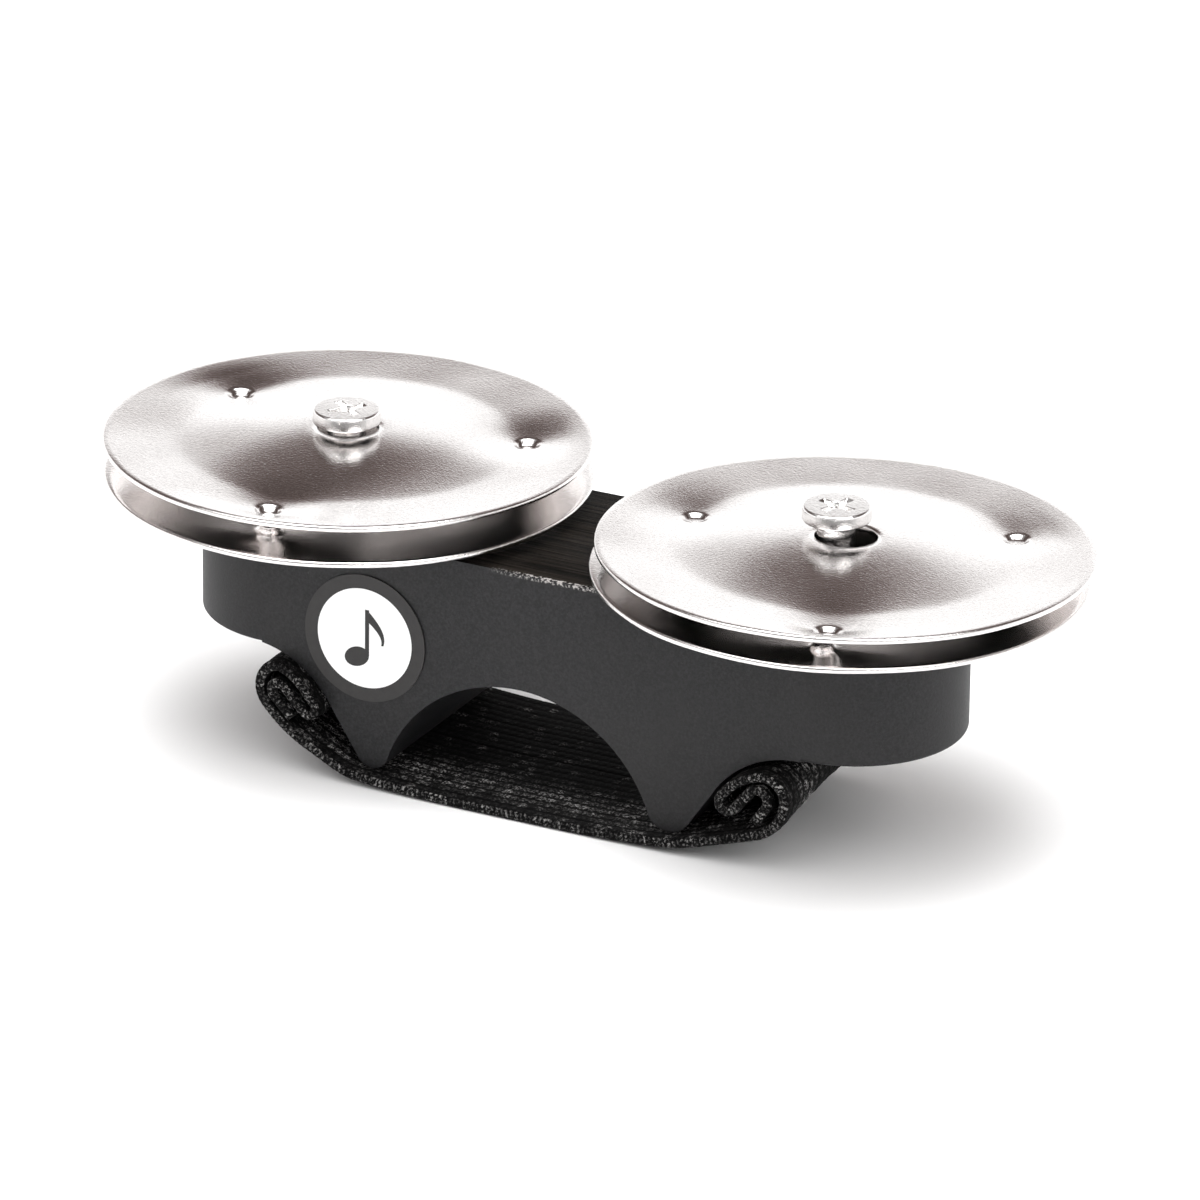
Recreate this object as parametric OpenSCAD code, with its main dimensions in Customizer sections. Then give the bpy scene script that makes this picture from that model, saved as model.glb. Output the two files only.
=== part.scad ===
// Two-finger jingle block: a wooden bridge worn on the fingers, held by an elastic strap
// under its feet, with a pair of steel jingles riding loosely on a screw at each end.
// X runs along the block, Y across it (front face at -Y), Z up; the strap lies on Z = 0.

/* [Block] */
// Length of the wooden block, end to end
block_l = 91; // [86:0.5:94]
// Width of the block across the fingers
block_w = 25.4; // [24:0.1:27]
// Height from the foot tips to the flat top
block_h = 26.5; // [25:0.5:30]
// Height of the left wing's underside above the foot tips
wing_left = 12.2; // [11.8:0.1:12.6]
// Height of the right wing's underside above the foot tips
wing_right = 11.4; // [11.0:0.1:12.0]
// Radius of the coves between wings and feet
cove_r = 12; // [11.8:0.1:12.2]
// Radius that rounds the lower edge of both ends
end_edge_r = 0.5; // [0.3:0.1:1]
// Radius of the finger arch
arch_r = 16.9; // [16.5:0.1:17.2]
// Height of the finger arch above the foot tips
arch_h = 12.9; // [12.4:0.1:13.4]

/* [Jingles] */
// Diameter of a jingle
jingle_d = 54; // [50:0.5:56]
// Thickness of the jingle sheet
sheet_t = 0.65; // [0.5:0.05:0.8]
// Radius of the central dome, where the sheet is lowest
dome_r = 18.8; // [18:0.2:20]
// Rise of the dome above the rim
dome_h = 1.25; // [1:0.05:1.35]
// Dip of the sheet below the rim at the foot of the dome
dip = 0.4; // [0.2:0.05:0.5]
// Diameter of the hole that rides on the screw
hole_d = 6.8; // [6.6:0.1:7.0]
// Radius of the circle that the three dimples lie on
dimple_circle_r = 20.1; // [19:0.1:20.5]
// Depth of the left jingles' dimples, from the rim to the outside of the tip
depth_left = 1.5; // [1.3:0.05:1.6]
// Depth of the right jingles' dimples
depth_right = 1.2; // [1.1:0.05:1.5]

/* [Screws] */
// Distance between the two screw axes
screw_spacing = 59.6; // [58:0.2:60]
// Offset of the screw pair from the middle of the block
screw_shift = 0.7; // [0:0.1:1]
// Diameter of the screw shank
shank_d = 4.2; // [4:0.1:4.4]
// Diameter of the screw head
head_d = 7.5; // [7.4:0.1:8]
// Thickness of the screw head
head_t = 1.6; // [1.2:0.1:1.8]
// Height of the head's underside above the block
head_lift = 8.0; // [7.8:0.1:9]
// Depth of the screw in the wood
screw_depth = 12; // [9:0.5:12.5]

/* [Strap] */
// Width of the elastic strap
strap_w = 29; // [27:0.5:30]
// Thickness of the elastic strap
strap_t = 1.2; // [1:0.05:1.25]

/* [Badge] */
// Diameter of the round sticker on the front face
badge_d = 14.8; // [12:0.2:15]
// Distance of the sticker's centre left of the middle
badge_x = 19.9; // [17:0.1:22]
// Height of the sticker's centre above the foot tips
badge_z = 15.3; // [14:0.1:17]

/* [Hidden] */
$fn = 96;

e = 0.01;                       // overcut that keeps faces from coinciding
ease = 0.04;                    // overlap that lets touching curves cross instead
foot_z = 1.9;                   // height of the foot tips, on top of the strap
top_z = foot_z + block_h;       // flat top of the block
end_r = block_w/2;              // the ends are full half circles in plan
arch_c = [-1.2, arch_h - arch_r];         // centre of the finger arch, above the foot tips
foot_x = [-19.1, 17.2];                   // middle of each foot
cove_c = [[-34.6, wing_left + 0.14 - cove_r], [32.7, wing_right - cove_r]];

jingle_r = jingle_d/2;
bell_sweep = 157;               // share of the half wave, in degrees, that the dome follows
lip_w = 1.3;                    // width of the turned-down lip round the hole
lip_h = 0.3;                    // how far the lip turns down
dimple_flank = 25;              // slope of a dimple's side
dimple_tip_r = 1.6;             // outside radius of a dimple's tip
play = 0.05;                    // clearance between pieces that touch at rest
crest = max([for (r = [hole_d/2 : 0.1 : dome_r]) dome(r)]);   // highest place of a dome
lower_z = top_z + play;         // underside of both lower jingles' domes
lower_rim = lower_z + crest + sheet_t;    // upper side of the lower jingles' rims
turn_left = 34;                 // angle of the first dimple of the left pair
turn_right = 50;                // angle of the first dimple of the right pair
off_left = [0.5, -1.5];         // middle of the dimples' circle, off the jingle's middle
off_right = [1.4, -2.7];
lift_left = 0.35;               // how far each lower jingle rides above its lowest place
lift_right = 0.1;
gap_left = 2*depth_left + 0.15; // gap between a pair's rims, held by the dimples tip to tip
gap_right = 2*depth_right + 0.25;
screw_x = [screw_shift - screw_spacing/2, screw_shift + screw_spacing/2];

// The strap's course on each side of the middle: [bend radius, bend angle] turns it up and
// back, a negative angle turns it the other way, and [0, length] runs straight.
strap_right = [[0, 4], [150, 5], [15.5, 12],        // flat, then up past the foot
               [0, 8.4], [4.8, 71], [2.5, 105],     // out and over the top of the roll
               [7.4, 44], [1, 175],                 // down along the cove and back
               [0, 2.9], [1.25, -176], [0, 2.2]];   // folded over inside the roll
strap_left = [[0, 7], [150, 5], [8, 21], [0, 4.2],
              [15, 24], [3.1, 76], [2, 80],
              [7.4, 25], [0, 1.8], [0.9, 175],
              [0, 3.5], [0.9, -180], [0, 3.2]];

// ---- wood block ---------------------------------------------------------------------------

// Radius of the foot tip at x that touches both the floor line and the finger arch
function tip_r(x) = (pow(x - arch_c.x, 2) + pow(arch_c.y, 2) - pow(arch_r, 2)) / (2*(arch_r + arch_c.y));

// One foot, drawn on the left: the straight outer side touches the cove and the tip
module foot_outline(x, cove, arch_x) {
    r = tip_r(sign(x - arch_c.x)*abs(x - arch_x) + arch_c.x);
    tip = [x, r];
    span = tip - cove;
    a = atan2(span.y, span.x) + acos((cove_r + r)/norm(span));
    out = [cos(a), sin(a)];
    arch = [arch_x, arch_c.y];
    meet = tip + (r + 5*ease)*(arch - tip)/norm(arch - tip);
    translate(tip + [0, ease]) circle(r + ease);
    polygon([tip - r*out, tip, meet, [arch_x + e, meet.y], [arch_x + e, block_h - 5],
             [cove.x, block_h - 5], [cove.x, cove.y + cove_r], cove + (cove_r - ease)*out]);
}

// Front outline of the block, above the foot tips
module block_outline() {
    difference() {
        union() {
            foot_outline(foot_x[0], cove_c[0], arch_c.x);
            mirror([1, 0]) foot_outline(-foot_x[1], [-cove_c[1].x, cove_c[1].y], -arch_c.x);
            translate([-block_l/2 - 1, wing_left]) square([block_l/2 + 1, block_h - wing_left]);
            translate([0, wing_right]) square([block_l/2 + 1, block_h - wing_right]);
        }
        translate(arch_c) circle(arch_r, $fn = 160);
        for (c = cove_c) translate(c) circle(cove_r);
    }
}

// A round end with its lower edge rounded
module block_end(side, wing) {
    translate([side*(block_l/2 - end_r), 0, foot_z + wing])
        rotate_extrude() {
            translate([0, end_edge_r]) square([end_r, block_h - wing - end_edge_r]);
            square([end_r - end_edge_r, end_edge_r + e]);
            intersection() {
                translate([end_r - end_edge_r, end_edge_r]) circle(end_edge_r);
                translate([end_r - end_edge_r - e, 0]) square(end_edge_r + e);
            }
        }
}

module wood_block() {
    color([0.13, 0.13, 0.14])
    difference() {
        union() {
            intersection() {
                translate([0, end_r, foot_z]) rotate([90, 0, 0])
                    linear_extrude(block_w) block_outline();
                translate([-block_l/2 + end_r, -end_r - 1, -1])
                    cube([block_l - 2*end_r, block_w + 2, top_z + 2]);
            }
            block_end(-1, wing_left);
            block_end(1, wing_right);
        }
        for (x = screw_x) translate([x, 0, top_z - screw_depth - 1])
            cylinder(d = shank_d + 0.04, h = screw_depth + 2);
    }
}

// ---- jingles --------------------------------------------------------------------------------

// Height of the jingle's underside above the rim at radius r: a bell-shaped dome whose foot
// dips below the rim, then a straight flare up to the rim; the hole's edge is turned down
function bell(r) = cos(bell_sweep*r/dome_r);
function dome(r) = r >= dome_r ? -dip*(jingle_r - r)/(jingle_r - dome_r)
    : (dome_h + dip)*(bell(r) - bell(dome_r))/(1 - bell(dome_r)) - dip
      - lip_h*pow(max(0, (hole_d/2 + lip_w - r)/lip_w), 2);

// Side of a dimple's outline, with its tip rounded to radius r about a fixed centre
function dimple_side(r, top) = [
    for (a = [0 : dimple_flank/4 : dimple_flank]) [r*sin(a), dimple_tip_r - r*cos(a)],
    [r*sin(dimple_flank) + (top - dimple_tip_r + r*cos(dimple_flank))/tan(dimple_flank), top]];

module dimple(r, top) {
    rotate_extrude() polygon(concat([[0, top]], dimple_side(r, top)));
}

// A jingle lying dome up, with the underside of its rim on Z = 0
module jingle(turn, off, depth) {
    hole_r = hole_d/2;
    lip_r = hole_r + lip_w;
    steps = [for (i = [0 : 4]) hole_r + lip_w*i/4,
             for (i = [1 : 14]) lip_r + (dome_r - lip_r)*i/14,
             jingle_r];
    places = [for (a = [0, 120, 240]) off + dimple_circle_r*[cos(turn + a), sin(turn + a)]];
    difference() {
        union() {
            rotate_extrude($fn = 180)
                polygon(concat([for (r = steps) [r, dome(r)]],
                               [for (i = [len(steps) - 1 : -1 : 0]) [steps[i], dome(steps[i]) + sheet_t]]));
            for (p = places) translate([p.x, p.y, -depth])
                dimple(dimple_tip_r, depth + dome(norm(p)) + sheet_t/2);
        }
        for (p = places) translate([p.x, p.y, -depth])
            dimple(dimple_tip_r - sheet_t, depth + dome(norm(p)) + sheet_t/2 + 1.5);
    }
}

// An upper jingle, dome up: the middle of its rim's underside at place, then tilted
module upper_jingle(place, tilt, turn, off, depth) {
    color([0.82, 0.81, 0.8]) translate(place) rotate([tilt.x, tilt.y, 0]) jingle(turn, off, depth);
}

// A lower jingle, dome down on the block: the middle of its rim's upper side at place
module lower_jingle(place, tilt, turn, off, depth) {
    color([0.78, 0.77, 0.76]) translate(place) rotate([tilt.x, tilt.y, 0])
        mirror([0, 0, 1]) jingle(turn, off, depth);
}

// The loose holes let each jingle lie a little off its screw and a little askew
module jingle_lower_left()
    lower_jingle([screw_x[0], 0.6, lower_rim + lift_left], [0, 0.5], turn_left, off_left, depth_left);
module jingle_upper_left()
    upper_jingle([screw_x[0] - 0.4, 1, lower_rim + lift_left + gap_left], [-0.4, 0.45],
                 turn_left, off_left, depth_left);
module jingle_lower_right()
    lower_jingle([screw_x[1] + 0.2, 0.7, lower_rim + lift_right], [-0.2, 0.9],
                 turn_right, off_right, depth_right);
module jingle_upper_right()
    upper_jingle([screw_x[1] + 1.1, 0.1, lower_rim + lift_right + gap_right], [-1.1, 0.45],
                 turn_right, off_right, depth_right);

// ---- screws ---------------------------------------------------------------------------------

// One wood screw, standing with its head's underside on Z = 0
module screw() {
    shank_l = head_lift + screw_depth - 3;
    difference() {
        union() {
            rotate_extrude() {
                square([head_d/2 - 0.4, head_t]);
                square([head_d/2, head_t - 0.4]);
                translate([head_d/2 - 0.4, head_t - 0.4]) circle(0.4, $fn = 32);
            }
            translate([0, 0, -shank_l]) cylinder(d = shank_d, h = shank_l + e);
            translate([0, 0, -shank_l - 3]) cylinder(d1 = 0.6, d2 = shank_d, h = 3 + e);
        }
        for (a = [0, 90]) rotate(a)                     // the cross recess
            rotate([90, 0, 0]) linear_extrude(0.9, center = true)
                polygon([[-2.3, head_t + e], [-0.9, head_t - 1], [0.9, head_t - 1], [2.3, head_t + e]]);
    }
}

module jingle_screws() {
    color([0.85, 0.84, 0.82])
    for (i = [0, 1]) translate([screw_x[i], 0, top_z + head_lift]) rotate(55 - 70*i) screw();
}

// ---- strap ----------------------------------------------------------------------------------

// Place and heading [x, z, angle] after the first n pieces of a course
function course(list, n) = n == 0 ? [0, strap_t/2, 0]
    : let (p = course(list, n - 1), r = list[n - 1][0], v = list[n - 1][1], s = sign(v), a = p[2])
      r == 0 ? [p.x + v*cos(a), p.y + v*sin(a), a]
             : [p.x + s*r*(sin(a + v) - sin(a)), p.y - s*r*(cos(a + v) - cos(a)), a + v];

// Points along one side of a course, off mm to the left of its heading, without its start
function course_side(list, off) = [
    for (i = [0 : len(list) - 1])
        let (p = course(list, i), r = list[i][0], v = list[i][1], s = sign(v),
             n = r == 0 ? 1 : ceil(abs(v)/8))
        for (k = [1 : n])
            let (a = r == 0 ? p[2] : p[2] + v*k/n,
                 x = r == 0 ? p.x + v*k/n*cos(a) : p.x + s*r*(sin(a) - sin(p[2])),
                 z = r == 0 ? p.y + v*k/n*sin(a) : p.y - s*r*(cos(a) - cos(p[2])))
            [x - off*sin(a), z + off*cos(a)]];

function reversed(list) = [for (i = [len(list) - 1 : -1 : 0]) list[i]];
function mirrored(list) = [for (p = list) [-p.x, p.y]];

module finger_strap() {
    over = concat(reversed(mirrored(course_side(strap_left, strap_t/2))),
                  course_side(strap_right, strap_t/2));
    under = concat(reversed(mirrored(course_side(strap_left, -strap_t/2))),
                   course_side(strap_right, -strap_t/2));
    color([0.09, 0.09, 0.1])
    translate([0, strap_w/2, 0]) rotate([90, 0, 0])
        linear_extrude(strap_w) polygon(concat(over, reversed(under)));
}

// ---- staples --------------------------------------------------------------------------------

// A wire staple with its crown across the strap, shot up through the roll into the wing
module staple(x, z) {
    wire = 0.9;
    crown = 10;
    leg = 8;
    translate([x, 0, z]) {
        cube([wire, crown + wire, wire], center = true);
        for (side = [-1, 1]) translate([-wire/2, side*crown/2 - wire/2, -wire/2])
            cube([wire, wire, leg]);
    }
}

module strap_staples() {
    color([0.6, 0.6, 0.62]) {
        staple(-28.9, 10.6);
        staple(28.9, 9.9);
    }
}

// ---- sticker --------------------------------------------------------------------------------

module front_badge() {
    color([0.95, 0.95, 0.95])
    translate([-badge_x, -end_r, foot_z + badge_z]) rotate([90, 0, 0])
        cylinder(d = badge_d, h = 0.2);
}

wood_block();
jingle_lower_left();
jingle_upper_left();
jingle_lower_right();
jingle_upper_right();
jingle_screws();
finger_strap();
strap_staples();
front_badge();
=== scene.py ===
import math

import bmesh
import bpy
import numpy as np
from mathutils import Matrix, Vector


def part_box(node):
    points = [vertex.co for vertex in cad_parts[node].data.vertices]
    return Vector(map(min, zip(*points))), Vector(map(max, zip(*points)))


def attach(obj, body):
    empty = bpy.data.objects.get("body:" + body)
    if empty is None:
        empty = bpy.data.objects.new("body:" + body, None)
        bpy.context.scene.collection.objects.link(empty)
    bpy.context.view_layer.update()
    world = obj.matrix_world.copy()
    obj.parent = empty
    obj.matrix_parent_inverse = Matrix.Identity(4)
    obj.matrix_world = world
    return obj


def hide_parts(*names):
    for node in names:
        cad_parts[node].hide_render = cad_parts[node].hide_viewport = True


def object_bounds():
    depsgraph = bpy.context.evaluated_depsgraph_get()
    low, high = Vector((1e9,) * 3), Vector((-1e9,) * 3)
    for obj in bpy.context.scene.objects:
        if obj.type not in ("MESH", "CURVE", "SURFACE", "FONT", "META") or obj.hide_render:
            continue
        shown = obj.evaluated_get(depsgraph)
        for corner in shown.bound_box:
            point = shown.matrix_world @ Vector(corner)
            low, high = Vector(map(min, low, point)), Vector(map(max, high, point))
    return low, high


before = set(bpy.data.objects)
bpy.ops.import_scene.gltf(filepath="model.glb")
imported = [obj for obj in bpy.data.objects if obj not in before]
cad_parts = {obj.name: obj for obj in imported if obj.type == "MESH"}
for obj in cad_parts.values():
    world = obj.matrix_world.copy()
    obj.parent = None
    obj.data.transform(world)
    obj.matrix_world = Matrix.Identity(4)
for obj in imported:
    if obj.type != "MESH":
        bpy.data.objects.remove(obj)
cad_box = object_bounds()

# Two-finger jingle block. Sizes below are in millimetres and are turned to metres by add_mesh.
MM = 0.001
BLOCK_W = 25.4                  # width of the block across the fingers
TOP_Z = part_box("wood_block")[1].z / MM

# ---- camera ---------------------------------------------------------------------------------

CAMERA_AT = Vector((412.1, -813.1, 399.3))
CAMERA_AZIMUTH = math.radians(26.75)
CAMERA_ELEVATION = math.radians(22.54)
CAMERA_ROLL = math.radians(0.66)
LENS = 271.5

RIGHT = Vector((math.cos(CAMERA_AZIMUTH), math.sin(CAMERA_AZIMUTH), 0))
AHEAD = Vector((-math.sin(CAMERA_AZIMUTH), math.cos(CAMERA_AZIMUTH), 0))


def add_camera():
    """The camera at the photo's angle."""
    forward = AHEAD * math.cos(CAMERA_ELEVATION) - Vector((0, 0, math.sin(CAMERA_ELEVATION)))
    level_up = RIGHT.cross(forward)
    right = RIGHT * math.cos(CAMERA_ROLL) + level_up * math.sin(CAMERA_ROLL)
    up = right.cross(forward)
    data = bpy.data.cameras.new("camera")
    data.lens = LENS
    data.sensor_width = 36
    data.clip_start, data.clip_end = 0.05, 20
    camera = bpy.data.objects.new("camera", data)
    axes = Matrix((right, up, -forward)).transposed()
    camera.matrix_world = Matrix.Translation(CAMERA_AT * MM) @ axes.to_4x4()
    bpy.context.scene.collection.objects.link(camera)
    bpy.context.scene.camera = camera


# ---- node helpers ---------------------------------------------------------------------------

class Nodes:
    """Builds a node tree with few words: every call returns the new node's first output."""

    def __init__(self, tree):
        self.tree = tree

    def add(self, kind, inputs=(), output=0, **settings):
        node = self.tree.nodes.new(kind)
        for key, value in settings.items():
            setattr(node, key, value)
        for key, value in dict(inputs).items():
            socket = node.inputs[key]
            if isinstance(value, bpy.types.NodeSocket):
                self.tree.links.new(value, socket)
            else:
                socket.default_value = value
        return node.outputs[output]

    def math(self, operation, a, b=0.0, clamp=False):
        return self.add("ShaderNodeMath", {0: a, 1: b}, operation=operation, use_clamp=clamp)

    def ramp(self, value, stops):
        """stops: (position, colour or grey) from left to right"""
        out = self.add("ShaderNodeValToRGB", {0: value})
        ramp = out.node.color_ramp
        ramp.interpolation = "LINEAR"
        while len(ramp.elements) < len(stops):
            ramp.elements.new(0.5)
        for element, (position, colour) in zip(ramp.elements, stops):
            element.position = position
            grey = (colour,) * 3 if isinstance(colour, (int, float)) else colour
            element.color = (*grey, 1)
        return out

    def rescale(self, value, low, high, to_low=0.0, to_high=1.0):
        return self.add("ShaderNodeMapRange",
                        {0: value, 1: low, 2: high, 3: to_low, 4: to_high})

    def mix(self, share, a, b):
        node = self.tree.nodes.new("ShaderNodeMix")
        node.data_type = "RGBA"
        for socket, value in ((node.inputs[0], share), (node.inputs[6], a), (node.inputs[7], b)):
            if isinstance(value, bpy.types.NodeSocket):
                self.tree.links.new(value, socket)
            elif socket.type == "RGBA":
                socket.default_value = (*value, 1)
            else:
                socket.default_value = value
        return node.outputs[2]

    def place(self, scale=(1, 1, 1)):
        """Object coordinates in millimetres, stretched."""
        position = self.add("ShaderNodeTexCoord", output=3)
        return self.add("ShaderNodeMapping", {0: position, 3: [s / MM for s in scale]})

    def noise(self, vector, scale, detail=3.0, roughness=0.55, distortion=0.0):
        return self.add("ShaderNodeTexNoise", {"Vector": vector, "Scale": scale,
                        "Detail": detail, "Roughness": roughness, "Distortion": distortion})

    def bump(self, height, distance, below=None):
        """A bump of so many mm; below is the normal of a coarser bump under it."""
        inputs = {"Height": height, "Distance": distance * MM, "Strength": 1.0}
        if below is not None:
            inputs["Normal"] = below
        return self.add("ShaderNodeBump", inputs)


def new_material(name, **inputs):
    """A Principled material, its node builder, and a function that feeds its sockets.

    inputs are plain values for the Principled sockets.
    """
    material = bpy.data.materials.new(name)
    material.use_nodes = True
    shader = material.node_tree.nodes["Principled BSDF"]
    for key, value in inputs.items():
        shader.inputs[key.replace("_", " ")].default_value = value
    nodes = Nodes(material.node_tree)

    def feed(socket, value):
        material.node_tree.links.new(value, shader.inputs[socket])

    return material, nodes, feed


# ---- materials ------------------------------------------------------------------------------

def steel_material(name, colour, polish, seed):
    """Bright polished steel with a fine grain and a slightly uneven skin."""
    material, n, feed = new_material(name, Metallic=1.0)
    spot = n.add("ShaderNodeVectorMath", {0: n.place(), 1: (seed, seed * 2, 0)}, operation="ADD")
    cloud = n.noise(spot, 0.12, 4)
    grain = n.noise(spot, 3.6, 2, 0.8)
    dull, pitted = (tuple(c * share for c in colour) for share in (0.93, 0.84))
    skin = n.mix(n.rescale(cloud, 0.35, 0.7), colour, dull)
    feed("Base Color", n.mix(n.rescale(grain, 0.5, 0.68), skin, pitted))
    rough = n.math("MULTIPLY_ADD", grain, 0.05)
    rough.node.inputs[2].default_value = polish - 0.025
    feed("Roughness", n.math("ADD", rough, n.rescale(cloud, 0.3, 0.7, 0, 0.04)))
    feed("Normal", n.bump(grain, 0.022))
    return material


PALE_LINE_FROM, PALE_LINE_TO = -5, 20     # stretch along the front top edge that carries a pale, broken line
PALE_LINE_DOWN, PALE_LINE_BACK = 0.55, 0.55      # how far it reaches down the face and back over the top


def wood_material():
    """Black-stained wood: satin, dusty specks, open grain on top, a pale broken line along part
    of one edge.
    """
    material, n, feed = new_material("black_wood")
    specks = n.noise(n.place(), 3.2, 2, 0.8)
    dust = n.noise(n.place(), 2.2, 2, 0.6)
    cloud = n.noise(n.place(), 0.05, 2)
    grain = n.noise(n.place((0.03, 1, 1)), 2.3, 5, 0.65, 0.3)
    normal = n.add("ShaderNodeNewGeometry", output=1)
    top = n.rescale(n.add("ShaderNodeSeparateXYZ", {0: normal}, output=2), 0.75, 0.95)
    face = n.mix(n.rescale(specks, 0.35, 0.7), (0.002, 0.002, 0.0023), (0.0175, 0.0172, 0.0192))
    face = n.mix(n.rescale(dust, 0.7, 0.76, 0, 0.35), face, (0.05, 0.05, 0.052))
    face = n.mix(n.rescale(cloud, 0.4, 0.65, 0, 0.3), face, (0.015, 0.0135, 0.013))
    open_grain = n.mix(n.rescale(grain, 0.42, 0.62),
                       (0.001, 0.0008, 0.0006), (0.017, 0.0138, 0.0112))
    stain = n.mix(top, face, open_grain)
    place = n.add("ShaderNodeSeparateXYZ", {0: n.place()})
    along, across, height = (place.node.outputs[k] for k in range(3))
    front = -BLOCK_W / 2
    # a pale, broken line along part of the front top edge, broken up by noise
    edge = n.math("MULTIPLY", n.rescale(height, TOP_Z - PALE_LINE_DOWN, TOP_Z - PALE_LINE_DOWN + 0.25),
                  n.rescale(across, front + PALE_LINE_BACK, front + PALE_LINE_BACK - 0.2))
    edge = n.math("MULTIPLY", edge, n.rescale(along, PALE_LINE_FROM, PALE_LINE_FROM + 6))
    edge = n.math("MULTIPLY", edge, n.rescale(along, PALE_LINE_TO, PALE_LINE_TO - 8))
    pale_line = n.math("MULTIPLY", edge, n.rescale(n.noise(n.place(), 2.6, 2, 0.8), 0.5, 0.58))
    feed("Base Color", n.mix(pale_line, stain, (0.42, 0.4, 0.385)))
    feed("Roughness", n.rescale(specks, 0.3, 0.7, 0.5, 0.62))
    feed("Specular IOR Level", n.rescale(top, 0, 1, 0.34, 0.03))
    ridges = n.math("MULTIPLY", n.math("SUBTRACT", grain, 0.5), n.rescale(top, 0, 1, 0.12, 1.0))
    feed("Normal", n.bump(specks, 0.02, below=n.bump(ridges, 0.09)))
    return material


def weave_material():
    """Black elastic: very dark yarn, with painted highlights as bright flecks on the stitches
    that stand proud.
    """
    material, n, feed = new_material("black_elastic", Specular_IOR_Level=0.06)
    proud = n.add("ShaderNodeAttribute", attribute_name="proud", output=2)
    pale = n.add("ShaderNodeAttribute", attribute_name="pale", output=2)
    fibre = n.noise(n.place(), 3.4, 2, 0.75)
    # painted highlight: paleness shown only where the stitches stand proud
    painted_highlight = n.math("MULTIPLY", pale, n.rescale(fibre, 0.47, 0.66))
    painted_highlight = n.math("MULTIPLY", painted_highlight, n.rescale(proud, 0.4, 0.85), clamp=True)
    feed("Base Color", n.mix(painted_highlight, (0.0016, 0.0015, 0.0016), (0.5, 0.49, 0.48)))
    feed("Roughness", n.rescale(fibre, 0.3, 0.7, 0.7, 0.9))
    feed("Normal", n.bump(fibre, 0.08))
    return material


def print_material(name, colour, roughness):
    """Printed vinyl of the sticker."""
    material, n, feed = new_material(name)
    fine = n.noise(n.place(), 1.4, 3)
    soft = tuple(c * 0.98 for c in colour)
    feed("Base Color", n.mix(n.rescale(fine, 0.4, 0.7), colour, soft))
    feed("Roughness", n.rescale(fine, 0.3, 0.7, roughness - 0.05, roughness + 0.05))
    feed("Normal", n.bump(fine, 0.004))
    return material


def floor_material():
    """A plain pale floor."""
    material, n, feed = new_material("pale_floor")
    fine = n.noise(n.place(), 0.02, 2)
    feed("Base Color", n.mix(fine, (0.93, 0.93, 0.93), (0.90, 0.90, 0.90)))
    feed("Roughness", n.rescale(fine, 0.3, 0.7, 0.7, 0.8))
    return material


# ---- mesh helpers ---------------------------------------------------------------------------

def add_mesh(name, points, faces, material, body, replaces=(), values=None):
    """A smooth mesh piece from points in mm; values are named numbers, one for each point."""
    mesh = bpy.data.meshes.new(name)
    mesh.from_pydata(np.asarray(points, float) * MM, [], faces)
    mesh.validate()
    mesh.polygons.foreach_set("use_smooth", np.ones(len(mesh.polygons), bool))
    for key, numbers in (values or {}).items():
        attribute = mesh.attributes.new(key, "FLOAT", "POINT")
        attribute.data.foreach_set("value", np.asarray(numbers, np.float32).ravel())
    mesh.materials.append(material)
    piece = bpy.data.objects.new(name, mesh)
    bpy.context.scene.collection.objects.link(piece)
    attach(piece, body)
    if replaces:
        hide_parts(*replaces)
    return piece


def grid_faces(rows, columns, close_rows=False, close_columns=False):
    """Faces of a grid of points, row by row, with either direction closed into a ring."""
    r = np.arange(rows if close_rows else rows - 1)[:, None]
    c = np.arange(columns if close_columns else columns - 1)[None, :]
    r2, c2 = (r + 1) % rows, (c + 1) % columns
    corners = [r * columns + c, r * columns + c2, r2 * columns + c2, r2 * columns + c]
    spread = [np.broadcast_to(k, (r.size, c.size)) for k in corners]
    return np.stack(spread, -1).reshape(-1, 4).tolist()


def flipped(faces):
    return [face[::-1] for face in faces]


def end_fans(rows, columns):
    """Triangles that close both ends of a tube of rings, round two points added last."""
    first, last = rows * columns, rows * columns + 1
    far = (rows - 1) * columns
    fans = []
    for c in range(columns):
        after = (c + 1) % columns
        fans += [[first, after, c], [last, far + c, far + after]]
    return fans


# ---- wood block -----------------------------------------------------------------------------

EDGE_ROUND = 0.5
SHARP_ANGLE = math.radians(35)  # edges sharper than this are eased


def add_block(material):
    """The CAD block with its sharp edges eased, as sanded and painted wood has them."""
    edit = bmesh.new()
    edit.from_mesh(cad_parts["wood_block"].data)
    bmesh.ops.remove_doubles(edit, verts=edit.verts, dist=0.002 * MM)
    bmesh.ops.dissolve_limit(edit, angle_limit=math.radians(0.5), verts=edit.verts,
                             edges=edit.edges)
    sharp = [e for e in edit.edges if len(e.link_faces) == 2
             and e.calc_face_angle() > SHARP_ANGLE]
    bmesh.ops.bevel(edit, geom=sharp, offset=EDGE_ROUND * MM, segments=4, profile=0.5,
                    affect="EDGES", clamp_overlap=True)
    bmesh.ops.triangulate(edit, faces=[f for f in edit.faces if len(f.verts) > 4])
    points = np.array([v.co for v in edit.verts]) / MM
    edit.verts.index_update()
    faces = [[v.index for v in f.verts] for f in edit.faces]
    edit.free()
    piece = add_mesh("block", points, faces, material, "block", ["wood_block"])
    piece.data.set_sharp_from_angle(angle=math.radians(24))


# ---- jingles --------------------------------------------------------------------------------

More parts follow.
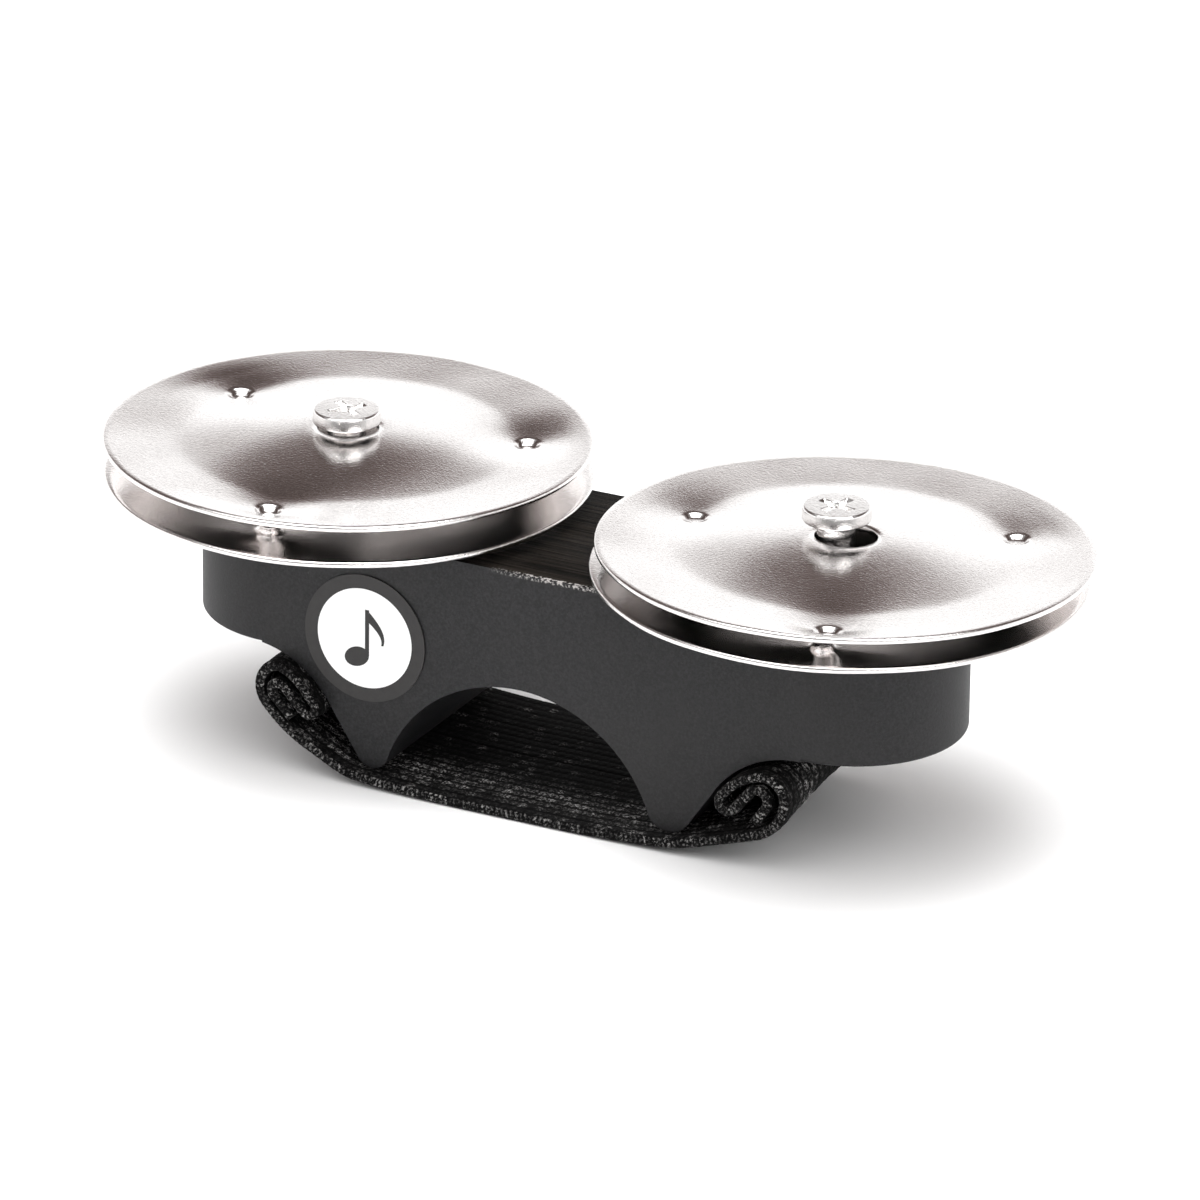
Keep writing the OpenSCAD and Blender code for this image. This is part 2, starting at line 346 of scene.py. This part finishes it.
JINGLE_R = 27
DOME_R, DOME_H, DIP = 18.8, 1.25, 0.4
BELL_SWEEP = math.radians(157)
CREASE = 0.08                   # height over which dome and flare blend into each other
SHEET = 0.65
RIM_ROUND, HOLE_ROUND = 0.2, 0.06      # rounding of the sheet's outer and inner edges
HOLE_R, LIP_W, LIP_H = 3.4, 1.3, 0.1
DIMPLE_R = 20.1                 # radius of the circle that the three dimples lie on
FLAT_R = 0.7                    # the flat bottom of a dimple, as wide as its punch
FAN_R, FAN_FALL = 4.4, 1.6      # the wide, shallow slope round it
PIT_R, PIT_FALL = 1.25, 11      # the steep cup the punch itself leaves
PIT_SHARE = 0.5                 # how much of the dimple's depth is in the cup
RIM_FADE = 4                    # width inside the rim where the slope round a dimple dies out
# for each pair: angle of the first dimple, middle of the dimples' circle, depth of a dimple
PAIRS = {"left": (34, (0.5, -1.5), 1.5), "right": (50, (1.4, -2.7), 1.2)}
# how each jingle lies askew on its screw: degrees about X, then about Y
TILTS = {"lower_left": (0, 0.5), "upper_left": (-0.4, 0.45),
         "lower_right": (-0.2, 0.9), "upper_right": (-1.1, 0.45)}


def dome(r):
    """Height of the sheet's underside above the rim, without the dimples."""
    foot = math.cos(BELL_SWEEP)
    bell = (DOME_H + DIP) * (np.cos(BELL_SWEEP * r / DOME_R) - foot) / (1 - foot) - DIP
    flare = -DIP * (JINGLE_R - r) / (JINGLE_R - DOME_R)
    lip = LIP_H * np.clip((HOLE_R + LIP_W - r) / LIP_W, 0, 1) ** 2
    return (bell + flare + np.hypot(bell - flare, CREASE)) / 2 - lip


def jingle_height(x, y, side, seed):
    """The same with three dimples pressed down, and the slight unevenness of pressed sheet."""
    turn, middle, depth = PAIRS[side]
    z = dome(np.hypot(x, y))
    for k in range(3):
        a = math.radians(turn) + k * math.tau / 3
        at = (middle[0] + DIMPLE_R * math.cos(a), middle[1] + DIMPLE_R * math.sin(a))
        away = np.hypot(x - at[0], y - at[1])
        fan = np.exp(-(np.clip(away - FLAT_R, 0, None) / FAN_R) ** FAN_FALL)
        inside = np.clip((JINGLE_R - np.hypot(x, y)) / RIM_FADE, 0, 1)
        fan = fan * inside ** 2 * (3 - 2 * inside)
        pit = 1 / (1 + (away / PIT_R) ** PIT_FALL)
        drop = depth + float(dome(np.hypot(*at)))       # down to the CAD dimple's tip
        z = z - drop * ((1 - PIT_SHARE) * fan + PIT_SHARE * pit)
    for k, length in enumerate((17, 13, 9.5)):
        a = seed * 1.7 + k * 2.1
        wave = math.tau * (x * math.cos(a) + y * math.sin(a)) / length
        z = z + 0.0011 * length * np.sin(wave + seed + k)
    return z


def jingle_section():
    """The sheet's section as (radius, share of thickness), once round, with rounded edges.

    The points stand closest where the dimples are.
    """
    near = np.linspace(HOLE_R + HOLE_ROUND, 15, 20)
    dimpled = np.linspace(15, 25.2, 58)[1:]
    far = np.linspace(25.2, JINGLE_R - RIM_ROUND, 4)[1:]
    face = np.concatenate([near, dimpled, far])
    turn = np.radians([-60, -30, 0, 30, 60])
    rim = np.column_stack([JINGLE_R - RIM_ROUND + RIM_ROUND * np.cos(turn),
                           0.5 + 0.5 * np.sin(turn)])
    hole = np.column_stack([HOLE_R + HOLE_ROUND - HOLE_ROUND * np.cos(turn),
                            0.5 - 0.5 * np.sin(turn)])
    under = np.column_stack([face, np.zeros_like(face)])
    over = np.column_stack([face[::-1], np.ones_like(face)])
    return np.concatenate([under, rim, over, hole])


def add_jingle(side, level, material, seed):
    """One jingle; the lower one of a pair lies upside down."""
    body = f"{level}_{side}"
    section = jingle_section()
    angle = np.linspace(0, math.tau, 640, endpoint=False)[None, :]
    r = section[:, 0][:, None] + 0 * angle
    x, y = r * np.cos(angle), r * np.sin(angle)
    z = jingle_height(x, y, side, seed) + section[:, 1][:, None] * SHEET
    if level == "lower":
        z = -z
    tilt_x, tilt_y = (math.radians(t) for t in TILTS[body])
    cos, sin = math.cos(tilt_x), math.sin(tilt_x)
    y, z = y * cos - z * sin, y * sin + z * cos
    cos, sin = math.cos(tilt_y), math.sin(tilt_y)
    x, z = x * cos + z * sin, z * cos - x * sin
    points = np.stack([x, y, z], -1).reshape(-1, 3)
    low, high = (np.array(corner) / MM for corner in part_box(f"jingle_{level}_{side}"))
    points += (low + high) / 2 - (points.min(0) + points.max(0)) / 2
    faces = grid_faces(len(section), angle.size, close_rows=True, close_columns=True)
    if level == "upper":
        faces = flipped(faces)
    return add_mesh(f"{body}_jingle", points, faces, material, body,
                    [f"jingle_{level}_{side}"])


# ---- screws ---------------------------------------------------------------------------------

HEAD_R, HEAD_T, HEAD_EDGE = 3.75, 1.6, 0.3
CROWN = 0.02                    # how far the head's top falls towards its edge
RECESS_DEEP = 1.0
RECESS_REACH = 2.25             # length of one arm of the cross
SHANK_R, SHANK_L = 2.1, 17
THREAD_PITCH, THREAD_DEPTH, THREAD_L = 1.7, 0.16, 11


def recess_depth(x, y):
    """Depth of the cross recess below the head's top."""
    depth = np.zeros_like(x)
    for u, v in ((x, y), (y, x)):
        reach = np.clip((RECESS_REACH - np.abs(u)) / 1.3, 0, 1)
        half = 0.42 + 0.1 * (1 - reach)
        wall = np.clip((half - np.abs(v)) / 0.14, 0, 1)
        depth = np.maximum(depth, RECESS_DEEP * reach * wall * wall * (3 - 2 * wall))
    middle = np.clip((1.0 - np.hypot(x, y)) / 0.3, 0, 1)
    return np.maximum(depth, RECESS_DEEP * middle)


def add_screw(name, x, top, turn, material, replaces):
    """A pan-head wood screw standing in the block, its head's top at height top."""
    angle = np.linspace(0, math.tau, 240, endpoint=False)[None, :]
    rings = []
    for r in np.linspace(0.03, HEAD_R - HEAD_EDGE, 60):
        rings.append((r, -CROWN * (r / HEAD_R) ** 2))
    edge = rings[-1][1]
    for a in np.linspace(8, 90, 8):
        s = math.radians(a)
        rings.append((HEAD_R - HEAD_EDGE * (1 - math.sin(s)),
                      edge - HEAD_EDGE * (1 - math.cos(s))))
    rings += [(HEAD_R, -HEAD_T + 0.2), (HEAD_R - 0.06, -HEAD_T + 0.06),
              (HEAD_R - 0.2, -HEAD_T), (SHANK_R + 0.5, -HEAD_T),
              (SHANK_R + 0.15, -HEAD_T - 0.12), (SHANK_R, -HEAD_T - 0.5)]
    smooth_end = -HEAD_T - SHANK_L + THREAD_L
    rings += [(SHANK_R, z) for z in np.linspace(-HEAD_T - 1, smooth_end, 8)]
    tip = -HEAD_T - SHANK_L
    for z in np.linspace(smooth_end, tip, 90)[1:]:
        taper = min(1.0, (z - tip) / 3 + 0.12)
        rings.append((SHANK_R * taper, z))
    r = np.array([ring[0] for ring in rings])[:, None] + 0 * angle
    z = np.array([ring[1] for ring in rings])[:, None] + 0 * angle
    threaded = z < smooth_end
    wave = np.abs(((z / THREAD_PITCH + angle / math.tau) % 1) * 2 - 1)
    r = r - threaded * THREAD_DEPTH * np.minimum(1, wave * 1.6) * (r / SHANK_R)
    px, py = r * np.cos(angle), r * np.sin(angle)
    on_top = (z > -0.3) & (r < HEAD_R - HEAD_EDGE)
    z = z - np.where(on_top, recess_depth(px, py), 0)
    cos, sin = math.cos(turn), math.sin(turn)
    points = np.stack([x + px * cos - py * sin, px * sin + py * cos, top + z], -1).reshape(-1, 3)
    rows, columns = r.shape
    faces = grid_faces(rows, columns, close_columns=True)
    points = np.concatenate([points, [[x, 0, points[0, 2]], [x, 0, top + tip - 0.2]]])
    faces += end_fans(rows, columns)
    add_mesh(name, points, flipped(faces), material, "block", replaces)


def add_screws(material):
    low, high = (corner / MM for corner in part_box("jingle_screws"))
    add_screw("left_screw", low.x + HEAD_R, high.z, math.radians(55), material,
              ["jingle_screws"])
    add_screw("right_screw", high.x - HEAD_R, high.z, math.radians(-15), material, [])


# ---- strap ----------------------------------------------------------------------------------

STRAP_W, STRAP_T = 29, 1.2
SELVEDGE = 0.35                 # width of the rounded edge on each side
STITCH_H, SELVEDGE_H = 0.12, 0.06      # how far the stitches stand out of faces and edges
# The strap's course on each side of the middle, as in the CAD model: (bend radius, degrees)
# turns it up and back, negative degrees turn it the other way, and (0, length) runs straight.
COURSE_RIGHT = [(0, 4), (150, 5), (15.5, 12), (0, 8.4), (4.8, 71), (2.5, 105), (7.4, 44),
                (1, 175), (0, 2.9), (1.25, -176), (0, 2.2)]
COURSE_LEFT = [(0, 7), (150, 5), (8, 21), (0, 4.2), (15, 24), (3.1, 76), (2, 80), (7.4, 25),
               (0, 1.8), (0.9, 175), (0, 3.5), (0.9, -180), (0, 3.2)]
RIB = 1.3                       # width of one knitted rib, across the strap
STITCH = 1.05                   # length of one stitch, along it
STEP = 0.2                      # spacing of the mesh points
FRONT_HIGHLIGHT_AT, FRONT_HIGHLIGHT_W = -9, 2.9   # where across the strap a band of painted highlight lies on the stitches, and its width


def course(pieces):
    """Places, headings and distances along one side's middle line, every STEP or so."""
    rows = []
    x, z, a, s = 0.0, STRAP_T / 2, 0.0, 0.0
    for radius, value in pieces:
        bend = math.radians(value) if radius else 0.0
        length = radius * abs(bend) if radius else value
        count = max(1, round(length / STEP))
        side = math.copysign(radius, bend)
        for k in range(1, count + 1):
            t = k / count
            if radius:
                at = (x + side * (math.sin(a + bend * t) - math.sin(a)),
                      z - side * (math.cos(a + bend * t) - math.cos(a)), a + bend * t)
            else:
                at = (x + value * t * math.cos(a), z + value * t * math.sin(a), a)
            rows.append((*at, s + length * t))
        x, z, a, s = rows[-1]
    return np.array(rows)


def strap_line():
    """The whole course from the left end to the right end: x, z, heading, distance."""
    left, right = course(COURSE_LEFT), course(COURSE_RIGHT)
    left = left[::-1] * (-1, 1, -1, -1)
    return np.concatenate([left, [[0, STRAP_T / 2, 0, 0]], right])


def stitch_noise(row, column):
    """A steady number from 0 to 1 for each stitch."""
    value = np.sin(row * 12.9898 + column * 78.233) * 43758.5453
    return value - np.floor(value)


def knit(s, y):
    """Height (0 to 1) and paleness of the knitted face at distance s and place y across: a band
    of painted highlight near the front edge, and random pale flecks.
    """
    rib = y / RIB
    row = np.floor(rib)
    across = (rib - row) * 2 - 1
    round_rib = np.sqrt(np.clip(1 - across ** 2, 0, 1))
    lean = np.where(across > 0, 1, -1) * across * 0.35
    along = s / STITCH + lean + 0.5 * (row % 2)
    column = np.floor(along)
    loop = np.sin(math.pi * (along - column)) ** 0.7
    height = round_rib * (0.45 + 0.55 * loop)
    luck = stitch_noise(row, column)
    # painted highlight: a pale band on the stitches near the front edge, where light catches
    # them
    front_highlight = np.exp(-((y - FRONT_HIGHLIGHT_AT) / FRONT_HIGHLIGHT_W) ** 2)
    pale = 0.03 + 0.5 * luck ** 8 + front_highlight * (0.1 + 0.9 * luck)
    return height, pale


def selvedge(s, t):
    """The same on the strap's edge, where t runs 0 to 1 through the thickness; its paleness is
    painted highlight on the edge's loops.
    """
    along = s / 0.58 + 0.8 * np.abs(t - 0.5)
    column = np.floor(along)
    loop = np.sin(math.pi * (along - column)) ** 0.8
    luck = stitch_noise(column, 3.0)
    # painted highlight on the crests of the edge's loops
    return loop, 0.12 + 0.6 * luck ** 1.5


# middle (x, z) of each cove's circle, and how far out from it the rolled strap reaches
COVES = ((-34.6, 2.24), (32.7, 1.3))
COVE_REACH = 11.4
ROLLS_FROM = 20                 # the rolls lie further out than this from the middle


def pinched(points):
    """The rolls are squeezed up into the coves between their ends, where the staples pull."""
    y = points[..., 1]
    squeeze = 0.2 * np.sin(np.clip((y + STRAP_W / 2) / 26, 0, 1) * math.pi * 0.8) ** 1.2
    squeeze = squeeze + 0.014 * np.sin(2.1 * y) * np.sin(0.37 * y + 1)
    for x, z in COVES:
        out = points[..., [0, 2]] - (x, z)
        reach = np.hypot(out[..., 0], out[..., 1])
        push = squeeze * np.clip(COVE_REACH - reach, 0, None) / reach
        points[..., [0, 2]] += out * push[..., None] * (np.abs(points[..., :1]) > ROLLS_FROM)
    return points


def add_strap(material):
    """The woven elastic: one closed skin with real stitches on its faces and edges."""
    line = strap_line()
    half = STRAP_W / 2
    inner = half - SELVEDGE
    across = np.linspace(-inner, inner, round(STRAP_W / STEP))
    turn = np.radians(np.linspace(-75, 75, 7))
    # the section once round: (y, share of thickness, whether it is on an edge)
    section = [(y, 0.0, False) for y in across]
    section += [(inner + SELVEDGE * math.cos(a), 0.5 + 0.5 * math.sin(a), True) for a in turn]
    section += [(y, 1.0, False) for y in across[::-1]]
    section += [(-inner - SELVEDGE * math.cos(a), 0.5 - 0.5 * math.sin(a), True) for a in turn]
    y, share, on_edge = (np.array(k)[None, :] for k in zip(*section))
    x0, z0, heading, s = (line[:, k][:, None] for k in range(4))
    face_height, face_highlight_and_flecks = knit(s, y)
    edge_height, edge_highlight = selvedge(s, share)
    height = np.where(on_edge, edge_height, face_height)
    pale = np.where(on_edge, edge_highlight, face_highlight_and_flecks)
    body = STRAP_T - 2 * STITCH_H
    stands = np.where(on_edge, SELVEDGE_H, STITCH_H * height)
    off = (share - 0.5) * body + np.sign(share - 0.5) * stands
    out = np.sign(y) * np.where(on_edge, STITCH_H * (edge_height - 1), 0)
    points = np.stack([x0 - off * np.sin(heading), y + out + 0 * s,
                       z0 + off * np.cos(heading)], -1)
    points = pinched(points)
    rows, columns = points.shape[:2]
    faces = grid_faces(rows, columns, close_columns=True)
    # each end is closed by a fan that stands for its melted, cut edge
    points = points.reshape(-1, 3)
    caps = [points[:columns].mean(0), points[-columns:].mean(0)]
    points = np.concatenate([points, caps])
    faces += end_fans(rows, columns)
    # pale carries painted highlight on the stitches and edges, with random pale flecks
    values = {"proud": np.append(height, [1, 1]), "pale": np.append(pale, [0.1, 0.1])}
    add_mesh("elastic_strap", points, flipped(faces), material, "block",
             ["finger_strap"], values)


# ---- staples --------------------------------------------------------------------------------

WIRE_R, WIRE_BEND = 0.45, 0.9
LEG_L = 7.1                     # height of a staple's legs above its crown's middle line


def add_staples(material):
    """Round-wire staples: leg, crown, leg, with bent corners."""
    low, high = (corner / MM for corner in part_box("strap_staples"))
    wire, bend = WIRE_R, WIRE_BEND
    # the left staple sits a little higher than the right one
    for name, x, drop in (("left_staple", low.x + wire, high.z - LEG_L - wire),
                          ("right_staple", high.x - wire, low.z + wire)):
        half = high.y - wire
        path = [(half, drop + LEG_L)]
        path += [(half, drop + bend + k) for k in (4, 2, 0)]
        path += [(half - bend * (1 - math.cos(a)), drop + bend * (1 - math.sin(a)))
                 for a in np.radians([30, 60, 90])]
        path += [(-p[0], p[1]) for p in path[::-1]]
        path = np.array(path)
        along = np.gradient(path, axis=0)
        along /= np.linalg.norm(along, axis=1)[:, None]
        a = np.linspace(0, math.tau, 16, endpoint=False)[None, :]
        side = np.stack([-along[:, 1], along[:, 0]], -1)
        points = np.stack([x + wire * np.cos(a) + 0 * path[:, :1],
                           path[:, :1] + wire * np.sin(a) * side[:, :1],
                           path[:, 1:] + wire * np.sin(a) * side[:, 1:]], -1)
        rows, columns = points.shape[:2]
        faces = grid_faces(rows, columns, close_columns=True)
        faces += [list(range(columns))[::-1], list(range((rows - 1) * columns, rows * columns))]
        add_mesh(name, points.reshape(-1, 3), faces, material, "block",
                 ["strap_staples"] if name == "left_staple" else [])


# ---- sticker --------------------------------------------------------------------------------

def prism(outline, y_front, y_back, centre):
    """Points and faces of a flat shape, (x, z) points about centre, between two depths."""
    count = len(outline)
    points = [(centre.x + x, y, centre.z + z) for y in (y_back, y_front) for x, z in outline]
    faces = [list(range(count))[::-1], list(range(count, 2 * count))]
    faces += [[k, (k + 1) % count, count + (k + 1) % count, count + k] for k in range(count)]
    return points, faces


def ellipse(cx, cz, rx, rz, tilt, count=64):
    """Outline of an ellipse about (cx, cz), turned by tilt."""
    a = np.linspace(0, math.tau, count, endpoint=False)
    x, z = rx * np.cos(a), rz * np.sin(a)
    c, s = math.cos(tilt), math.sin(tilt)
    return np.column_stack([cx + x * c - z * s, cz + x * s + z * c])


def note_flag(x, top):
    """Outline of an eighth note's flag, hung from the stem's top."""
    t = np.linspace(0, 1, 16)
    outer = np.column_stack([x + 2.1 * np.sin(1.9 * t), top - 3.9 * t])
    inner = np.column_stack([x + 1.55 * np.sin(1.9 * t) + 0.25 * t, top - 1.3 - 2.6 * t])
    return np.concatenate([outer, inner[::-1]])


FIELD_R = 5.8                   # radius of the sticker's white field
FILM = 0.02                     # height of one printed layer over the next
STEM_X, STEM_TOP = 0.35, 3.4    # where the note's stem stands, and its top


def add_badge(black, white):
    """A round sticker: black border, white field, and a plain eighth note in black."""
    low, high = (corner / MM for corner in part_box("front_badge"))
    centre = (low + high) / 2
    radius = (high.x - low.x) / 2
    back, front = high.y, low.y
    field = ellipse(0, 0, FIELD_R, FIELD_R, 0, 160)
    layers = [("badge_border", ellipse(0, 0, radius, radius, 0, 160), front, back, black),
              ("badge_field", field, front - FILM, front, white)]
    stem = [(STEM_X - 0.28, -2.0), (STEM_X + 0.22, -2.0),
            (STEM_X + 0.22, STEM_TOP), (STEM_X - 0.28, STEM_TOP)]
    note = [("note_head", ellipse(-0.95, -2.3, 1.55, 1.12, math.radians(22))),
            ("note_stem", stem),
            ("note_flag", note_flag(STEM_X, STEM_TOP))]
    layers += [(name, shape, front - (2 + 0.2 * k) * FILM, front - FILM, black)
               for k, (name, shape) in enumerate(note)]
    for name, outline, y_front, y_back, material in layers:
        points, faces = prism(outline, y_front, y_back, centre)
        piece = add_mesh(name, points, faces, material, "block",
                         ["front_badge"] if name == "badge_border" else [])
        piece.data.set_sharp_from_angle(angle=math.radians(30))


# ---- studio ---------------------------------------------------------------------------------

WALL_TOP = 24.0                 # elevation in degrees where the wall's edge is, ahead
WALL_SLANT = 0.3                # how that edge climbs towards the right
CEILING_FROM, CEILING_TO = 62, 75      # elevations between which the ceiling grows bright
WALL_LIGHT, CEILING_LIGHT = 1.3, 7.5
BEHIND_LIGHT = 0.3              # share of the wall's light that is left behind the camera
FLOOR_REACH = 8.0


def add_world():
    """A white wall, a dim warm grey band above it, and a soft white ceiling."""
    world = bpy.data.worlds.new("studio")
    bpy.context.scene.world = world
    world.use_nodes = True
    n = Nodes(world.node_tree)
    direction = n.add("ShaderNodeTexCoord", output=0)

    def towards(vector):
        return n.add("ShaderNodeVectorMath", {0: direction, 1: tuple(vector)},
                     operation="DOT_PRODUCT", output=1)

    height = towards((0, 0, 1))
    elevation = n.math("DEGREES", n.math("ARCSINE", height))
    azimuth = n.math("DEGREES", n.math("ARCTAN2", towards(RIGHT), towards(AHEAD)))
    slant = n.math("MULTIPLY", n.rescale(azimuth, -12, 12, -12, 12), WALL_SLANT)
    over = n.math("SUBTRACT", n.math("SUBTRACT", elevation, WALL_TOP), slant)
    share = n.rescale(over, -10, 50)
    colour = n.ramp(share, [(0.0, 1.0), (0.158, 1.0), (0.178, (0.36, 0.33, 0.32)),
                            (0.21, (0.24, 0.2, 0.195)), (0.29, (0.19, 0.155, 0.15)),
                            (0.345, (0.09, 0.07, 0.065)), (0.38, (0.045, 0.034, 0.031)),
                            (0.5, (0.09, 0.07, 0.065)), (0.64, (0.12, 0.1, 0.095)),
                            (0.74, 0.3), (0.85, 1.0)])
    light = n.rescale(elevation, CEILING_FROM, CEILING_TO, WALL_LIGHT, CEILING_LIGHT)
    behind = n.rescale(n.math("ABSOLUTE", azimuth), 100, 140, 1, BEHIND_LIGHT)
    behind = n.math("MAXIMUM", behind, n.rescale(elevation, 50, 65))
    background = world.node_tree.nodes["Background"]
    world.node_tree.links.new(colour, background.inputs["Color"])
    strength = n.math("MULTIPLY", light, behind)
    world.node_tree.links.new(strength, background.inputs["Strength"])


def add_light(name, place, target, size, power):
    """A round soft light at place, in metres, turned towards target."""
    data = bpy.data.lights.new(name, "AREA")
    data.shape = "DISK"
    data.size = size
    data.energy = power
    light = bpy.data.objects.new(name, data)
    light.location = place
    light.rotation_euler = (Vector(target) - Vector(place)).to_track_quat("-Z", "Y").to_euler()
    bpy.context.scene.collection.objects.link(light)


def add_studio(material):
    """World, lights and floor."""
    bpy.context.scene.view_settings.view_transform = "Standard"
    add_world()
    add_light("key", (-0.4, -1.1, 1.5), (0, 0, 0.02), 1.8, 14)
    add_light("fill", (1.1, -0.7, 1.2), (0, 0, 0.02), 1.6, 14)
    mesh = bpy.data.meshes.new("floor")
    reach, low = FLOOR_REACH, cad_box[0].z
    mesh.from_pydata([(-reach, -reach, low), (reach, -reach, low), (reach, reach, low),
                      (-reach, reach, low)], [], [(0, 1, 2, 3)])
    mesh.materials.append(material)
    floor = bpy.data.objects.new("floor", mesh)
    bpy.context.scene.collection.objects.link(floor)


# ---- everything -----------------------------------------------------------------------------

add_camera()
add_studio(floor_material())
add_block(wood_material())
steel = steel_material("polished_steel", (0.84, 0.815, 0.805), 0.09, 0)
for number, side in enumerate(("left", "right")):
    for level in ("lower", "upper"):
        add_jingle(side, level, steel, 2 * number + (level == "upper"))
add_screws(steel_material("plated_screw", (0.9, 0.885, 0.875), 0.14, 5))
add_strap(weave_material())
add_staples(steel_material("staple_wire", (0.6, 0.6, 0.62), 0.3, 9))
add_badge(print_material("black_vinyl", (0.0115, 0.0098, 0.0096), 0.5),
          print_material("white_vinyl", (0.95, 0.95, 0.95), 0.4))
